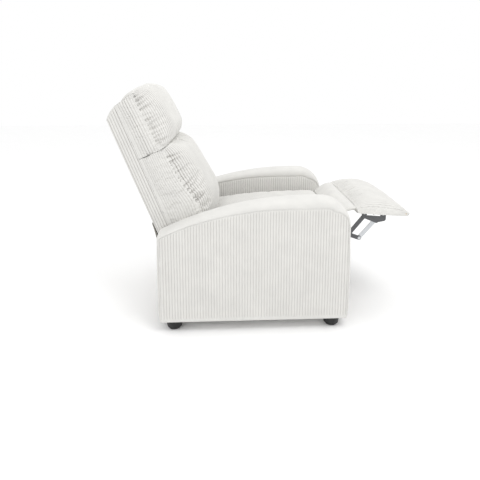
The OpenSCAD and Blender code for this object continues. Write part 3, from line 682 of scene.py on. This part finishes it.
def gather(obj, line, toward, spacing=0.02, depth=0.0075, reach=0.085, seed=1):
    """Puckers beside a gathered seam: short folds square to line, on the side that toward points to."""
    fold_width, seam_width, seam_sink = 0.0052, 0.004, 0.002
    mesh = obj.data
    co = np.zeros(len(mesh.vertices) * 3, np.float32)
    mesh.vertices.foreach_get("co", co)
    normals = np.zeros_like(co)
    mesh.vertex_normals.foreach_get("vector", normals)
    co, normals = co.reshape(-1, 3), normals.reshape(-1, 3)
    gap, where = line_distance(co, line)
    run = running_length(line)
    nearest = np.stack([np.interp(where, run, line[:, i]) for i in range(3)], 1)
    ahead = (co - nearest) @ toward
    rng = np.random.default_rng(seed)
    move = np.zeros(len(co))
    spot = spacing * 0.5
    while spot < run[-1]:
        long, deep = reach * rng.uniform(0.5, 1.15), depth * rng.uniform(0.6, 1.2)
        lean = rng.uniform(-0.25, 0.25)
        off = where - spot - lean * gap
        fold = np.exp(-((off / fold_width) ** 2)) * np.clip(1 - gap / long, 0, 1) ** 0.9
        move -= deep * fold * (ahead > -0.002)
        spot += spacing * rng.uniform(0.7, 1.3)
    move -= seam_sink * np.exp(-((gap / seam_width) ** 2))
    co += normals * move[:, None]
    mesh.vertices.foreach_set("co", co.ravel())
    mesh.update()


def cushion(name, half, place, base, seam, middle, hold, **how):
    """A boxed cushion, inflated and cut fine enough for its wales."""
    sewn_width = 0.006
    shell = boxed_cushion(place, half, base, seam, middle, **how)
    seams = [place(side * half, *spline(seam, np.linspace(0, 1, 30)).T) for side in (-1, 1)]
    for line in (seam, base):
        for y, z in (line[0], line[-1]):
            seams.append(place(np.array([-half, half]), np.full(2, y), np.full(2, z)))

    def held(points):
        near = np.min([line_distance(points, s)[0] for s in seams], axis=0)
        return np.maximum(np.exp(-((near / sewn_width) ** 2)), hold(points))

    inflate(shell, held)
    shell.finer(FINER)
    return shell.mesh(name)


def on_back_frame(points):
    """1 for what lies against the back's frame."""
    y, z = points[:, 1] / MM - PIN.y, points[:, 2] / MM - PIN.z
    return (z * math.sin(TILT) - y * math.cos(TILT) < 70).astype(float)


def add_back_cover():
    """The back's outer cover: a flat rear panel and the side bands, with wales up the slope."""
    low_v, seam_v, half, r, step, height = -8, 50, CUSHION_HALF, 12, 1.9, 555
    section = [(-half, seam_v)]
    section += [(-half, v) for v in np.arange(seam_v - step, low_v + r, -step)]
    section += arc((-half + r, low_v + r), r, np.linspace(math.pi, 1.5 * math.pi, 9))
    section += [(x, low_v) for x in np.arange(-half + r + step, 0, step)]
    section = np.array(section + [(-x, v) for x, v in reversed(section)])
    run = running_length(section) * MM
    t = np.concatenate([[0, 0.004], np.linspace(0.02, 0.97, 44), [0.985, 1]])
    x, v = section[:, 0], section[:, 1]
    forward = np.clip((v - low_v) / (seam_v - low_v), 0, 1)
    bottom, top = 141 + 0.43 * (v - low_v), 692 + 43 * forward**0.8
    u = bottom[None] + (top - bottom)[None] * t[:, None]
    puff = 3.5 * np.sin(np.pi * t)[:, None] ** 0.5
    rear = np.clip(1 - (v - low_v) / 10, 0, 1)[None]
    flank = (1 - rear) * np.sign(x)[None] * np.sin(np.pi * forward)[None]
    crown = puff * np.clip((half - np.abs(x)) / 60, 0, 1)[None] ** 0.6
    to_side = np.minimum(run, run[-1] - run) / MM
    fade = np.clip(np.minimum(t, 1 - t) * height / 8, 0, 1)[:, None] * np.clip(to_side / 4, 0, 1)[None]

    def turned_in(u_edge, narrower, v_in, u_in, lift):
        """Rows from an edge of the panel to an inner line, with a swell of lift between them."""
        s = np.linspace(0, 1, 9)[:, None]
        swell = np.sin(np.pi * s) * lift * (1 - forward)
        return back_place(x * (1 - narrower * s), v + (v_in - v) * s, u_edge + (u_in - u_edge) * s + swell)

    shell = Shell()
    shell.add(back_place(x[None] + flank * puff * 0.6, v[None] - rear * crown, u), run[None], fade)
    # The top rolls forward to the head pillow, and the lower edge tucks in round the frame
    shell.add(turned_in(u[-1], 0.077, seam_v - 2, 733, 7), run[None])
    shell.add(turned_in(u[0], 0.22, v + (30 - v) * 0.4, u[0] + 12, -4), run[None])
    cover = shell.mesh("back_cover", close=False)
    thicken(cover, 2.5 * MM)
    return cover


def add_flap():
    """The padded flap that bridges the seat and the footrest."""
    half, step = 212, 2.26
    t = np.linspace(0, 1, 31)
    top, under = spline(FLAP_TOP, t), spline(FLAP_UNDER, t)
    xs = np.linspace(-half, half, int(2 * half / step) + 1)
    grid = np.ones((len(t), len(xs)))
    crown = 5 * (1 - (xs / half) ** 4)[None] * np.sin(np.pi * t)[:, None]
    upper = flat_place(xs[None] * grid, top[:, None, 0] * grid, top[:, None, 1] + crown)
    lower = flat_place(xs[None] * grid, under[:, None, 0] * grid, under[:, None, 1] * grid)
    off_side = np.clip((half - np.abs(xs)) / 6, 0, 1)
    fade = 0.35 * np.clip(np.minimum(t, 1 - t) * 10, 0, 1)[:, None] * off_side[None]
    shell = Shell()
    shell.add(upper, xs[None] * MM, fade)
    shell.add(lower)
    for i, bow in ((0, -5 * MM), (-1, 5 * MM)):
        shell.add(np.stack([upper[i] * (1 - s) + lower[i] * s for s in np.linspace(0, 1, 5)]))
        ends = [
            upper[:, i] * (1 - s) + lower[:, i] * s + np.array([bow * math.sin(math.pi * s), 0, 0])
            for s in np.linspace(0, 1, 7)
        ]
        shell.add(np.stack(ends, 1))
    return shell.mesh("footrest_flap_cover")


def finish_soft(obj, material):
    obj.data.materials.append(material)


# ---------- sheets ----------


def apply_modifiers(obj):
    bpy.context.view_layer.objects.active = obj
    obj.select_set(True)
    for modifier in list(obj.modifiers):
        bpy.ops.object.modifier_apply(modifier=modifier.name)
    obj.select_set(False)


def thicken(obj, thickness):
    """Gives an open skin its thickness, inwards."""
    solid = obj.modifiers.new("thickness", "SOLIDIFY")
    solid.thickness = thickness
    solid.offset = -1
    apply_modifiers(obj)


def sheet_piece(name, points, thickness):
    """A cloth sheet from a grid of points."""
    shell = Shell()
    shell.add(points)
    obj = shell.mesh(name, close=False)
    thicken(obj, thickness)
    return obj


def flat_area(points):
    """Width and length of a grid of points, measured along its middle lines."""
    rows, columns = points.shape[:2]
    return float(running_length(points[rows // 2])[-1]), float(running_length(points[:, columns // 2])[-1])


def curtain_grid():
    """Lining that closes the gap behind the back, hanging in shallow upright folds."""
    xs, t = np.linspace(-230, 230, 161), np.linspace(0, 1, 61)[:, None]
    path = spline(CURTAIN_PATH, t[:, 0])
    fold = (3.2 * np.sin(xs / 23) + 2.0 * np.sin(xs / 13.7 + 1.3))[None] * np.sin(np.pi * t) ** 0.7
    y = path[:, None, 0] + fold
    return flat_place(xs[None] * np.ones_like(y), y, path[:, None, 1] + np.zeros_like(y))


def stretched_grid(half, start, end, give):
    """Cloth between two edges at (y, z) places, which gives by so much at its middle, in millimetres."""
    x, t = np.meshgrid(np.linspace(-half, half, 41), np.linspace(0, 1, 25))
    y, z = (a + (b - a) * t for a, b in zip(start, end))
    slack = np.sin(np.pi * t) * np.cos(np.pi * x / (2 * half))
    return flat_place(x, y + give[0] * slack, z + give[1] * slack)


# ---------- the soft pieces ----------

add_camera()
cord_cloth = corduroy()
lining_cloth = woven("grey_white_lining", "#BDBBB6", "#DAD8D3", 1.2 * MM)
dark_cloth = woven("black_spunbond", "#1E1E1F", "#2C2C2D", 1.6 * MM, 0.95)
webbing = woven("elastic_webbing", "#26251F", "#3B3A33", 2.0 * MM, 0.8)
wood = softwood()
foot_plastic = moulded("black_polypropylene", "#121213", "#1C1C1D", 0.42)
nylon = moulded("black_nylon", "#17171A", "#222225", 0.5)
black_steel = metal("lacquered_steel", "#47484A", "#5B5C5E", 0.42, 0.9 * MM, coat=0.3, metallic=0.35)
bright_steel = metal("zinc_plated_steel", "#B4B7BA", "#D2D4D6", 0.3, 1.2 * MM)

for side, hand in ((-1, "right"), (1, "left")):
    arm = add_arm(f"arm_{hand}", side)
    finish_soft(arm, cord_cloth)
    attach(arm, "base")
    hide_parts(f"arm_cover_{hand}")

pillow = cushion(
    "head_pillow_cover", CUSHION_HALF, back_place, PILLOW_BASE, PILLOW_SEAM, PILLOW_MIDDLE, on_back_frame,
    full=2.3,
)
lumbar = cushion(
    "lumbar_cover", CUSHION_HALF, back_place, LUMBAR_BASE, LUMBAR_SEAM, LUMBAR_MIDDLE, on_back_frame,
    full=2.3,
)
forward = np.array([0, -math.cos(TILT), math.sin(TILT)])
for side in (-1, 1):
    toward = forward + np.array([-side * 0.15, 0, 0])
    for obj, seam, start, seed in ((pillow, PILLOW_SEAM, 0.06, 3), (lumbar, LUMBAR_SEAM, 0.2, 8)):
        line = back_place(side * CUSHION_HALF, *spline(seam, np.linspace(start, 0.96, 24)).T)
        gather(obj, line, toward, seed=seed + side)
for obj, name in ((pillow, "head_pillow"), (lumbar, "lumbar_cushion")):
    finish_soft(obj, cord_cloth)
    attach(obj, "back")
    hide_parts(name)

cover = add_back_cover()
finish_soft(cover, cord_cloth)
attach(cover, "back")
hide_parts("back_shell")

seat = cushion(
    "seat_cover", CUSHION_HALF, flat_place, SEAT_BASE, SEAT_SEAM, SEAT_MIDDLE,
    lambda p: (p[:, 2] < 0.345).astype(float), full=3.2, side_puff=0,
)
finish_soft(seat, cord_cloth)
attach(seat, "seat")
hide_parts("seat_cushion")

pad = cushion(
    "footrest_pad_cover", CUSHION_HALF - 0.5, flat_place, PAD_BASE, PAD_SEAM, PAD_MIDDLE,
    lambda p: (p[:, 2] < 0.43).astype(float), full=3.0, side_puff=1,
)
finish_soft(pad, cord_cloth)
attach(pad, "footrest")
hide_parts("footrest_pad")

flap = add_flap()
finish_soft(flap, cord_cloth)
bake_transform(flap)
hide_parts("footrest_flap")

curtain_points = curtain_grid()
curtain = sheet_piece("rear_curtain_cloth", curtain_points, 1.2 * MM)
curtain.data.materials.append(lining_cloth)
flat_area(curtain_points)
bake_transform(curtain)
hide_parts("rear_curtain")

dust_points = stretched_grid(200, (-325, 265.2), (235, 265.2), (0, -5))
dust = sheet_piece("dust_cover_cloth", dust_points, 0.6 * MM)
dust.data.materials.append(dark_cloth)
flat_area(dust_points)
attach(dust, "seat")
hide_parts("seat_dust_cover")

front_points = stretched_grid(202, (-333, 247), (-333, 343), (-2.5, 0))
front = sheet_piece("seat_front_cloth", front_points, 1.2 * MM)
front.data.materials.append(lining_cloth)
flat_area(front_points)
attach(front, "seat")
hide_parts("seat_front_panel")

# ---------- finishes of the frame's own pieces ----------

FINISHES = {
    wood: ["arm_frame", "cross_rail", "seat_rail", "back_frame", "footrest_board"],
    foot_plastic: ["foot_front", "foot_rear"],
    nylon: ["glide_blocks"],
    black_steel: [
        "base_plate", "seat_plate", "back_bracket", "footrest_bracket", "lift_link", "cross_link", "crank",
        "spring_clips",
    ],
    bright_steel: [
        "slide_rail", "corner_brackets", "arm_bolts", "foot_screws", "recline_pins", "seat_springs",
        "seat_plate_bolts", "seat_pivots", "back_bolts", "drive_pins", "footrest_screws", "lift_pivots",
        "cross_link_rivets", "brace_link",
    ],
    webbing: ["back_straps"],
}
for finish, starts in FINISHES.items():
    for name, obj in frame["nodes"].items():
        if any(name == start or name.startswith(start + "_") for start in starts):
            obj.data.materials.clear()
            obj.data.materials.append(finish)

# ---------- the studio ----------


def add_floor():
    bpy.ops.mesh.primitive_plane_add(size=14, location=(0, 0, 0))
    floor = bpy.context.active_object
    floor.name = "studio_floor"
    floor.select_set(False)
    material, tree, bsdf, place = new_material("matt_paper", Roughness=0.95, Specular_IOR_Level=0.1)
    grain = node(tree, "ShaderNodeTexNoise", Vector=place, Scale=1 / 0.3, Detail=2.0).outputs[0]
    tree.links.new(two_tone(tree, grain, "#FCFCFC", "#FEFEFE"), bsdf.inputs["Base Color"])
    floor.data.materials.append(material)


def add_sky(strength):
    world = bpy.data.worlds.new("studio")
    bpy.context.scene.world = world
    world.use_nodes = True
    background = world.node_tree.nodes["Background"]
    background.inputs[0].default_value = linear("#FFFFFF")
    background.inputs[1].default_value = strength


add_floor()
bpy.context.scene.view_settings.view_transform = "Standard"
add_sky(1.0)
add_light("key", (-1.5, -0.9, 2.8), (0, 0, 0.4), (1.0, 1.0), 20)
add_light("fill", (-2.2, 2.2, 1.6), (0, 0.1, 0.4), (1.6, 1.6), 5)
add_light("top", (0.3, 0.0, 3.0), (0, 0, 0.4), (2.2, 2.2), 8)
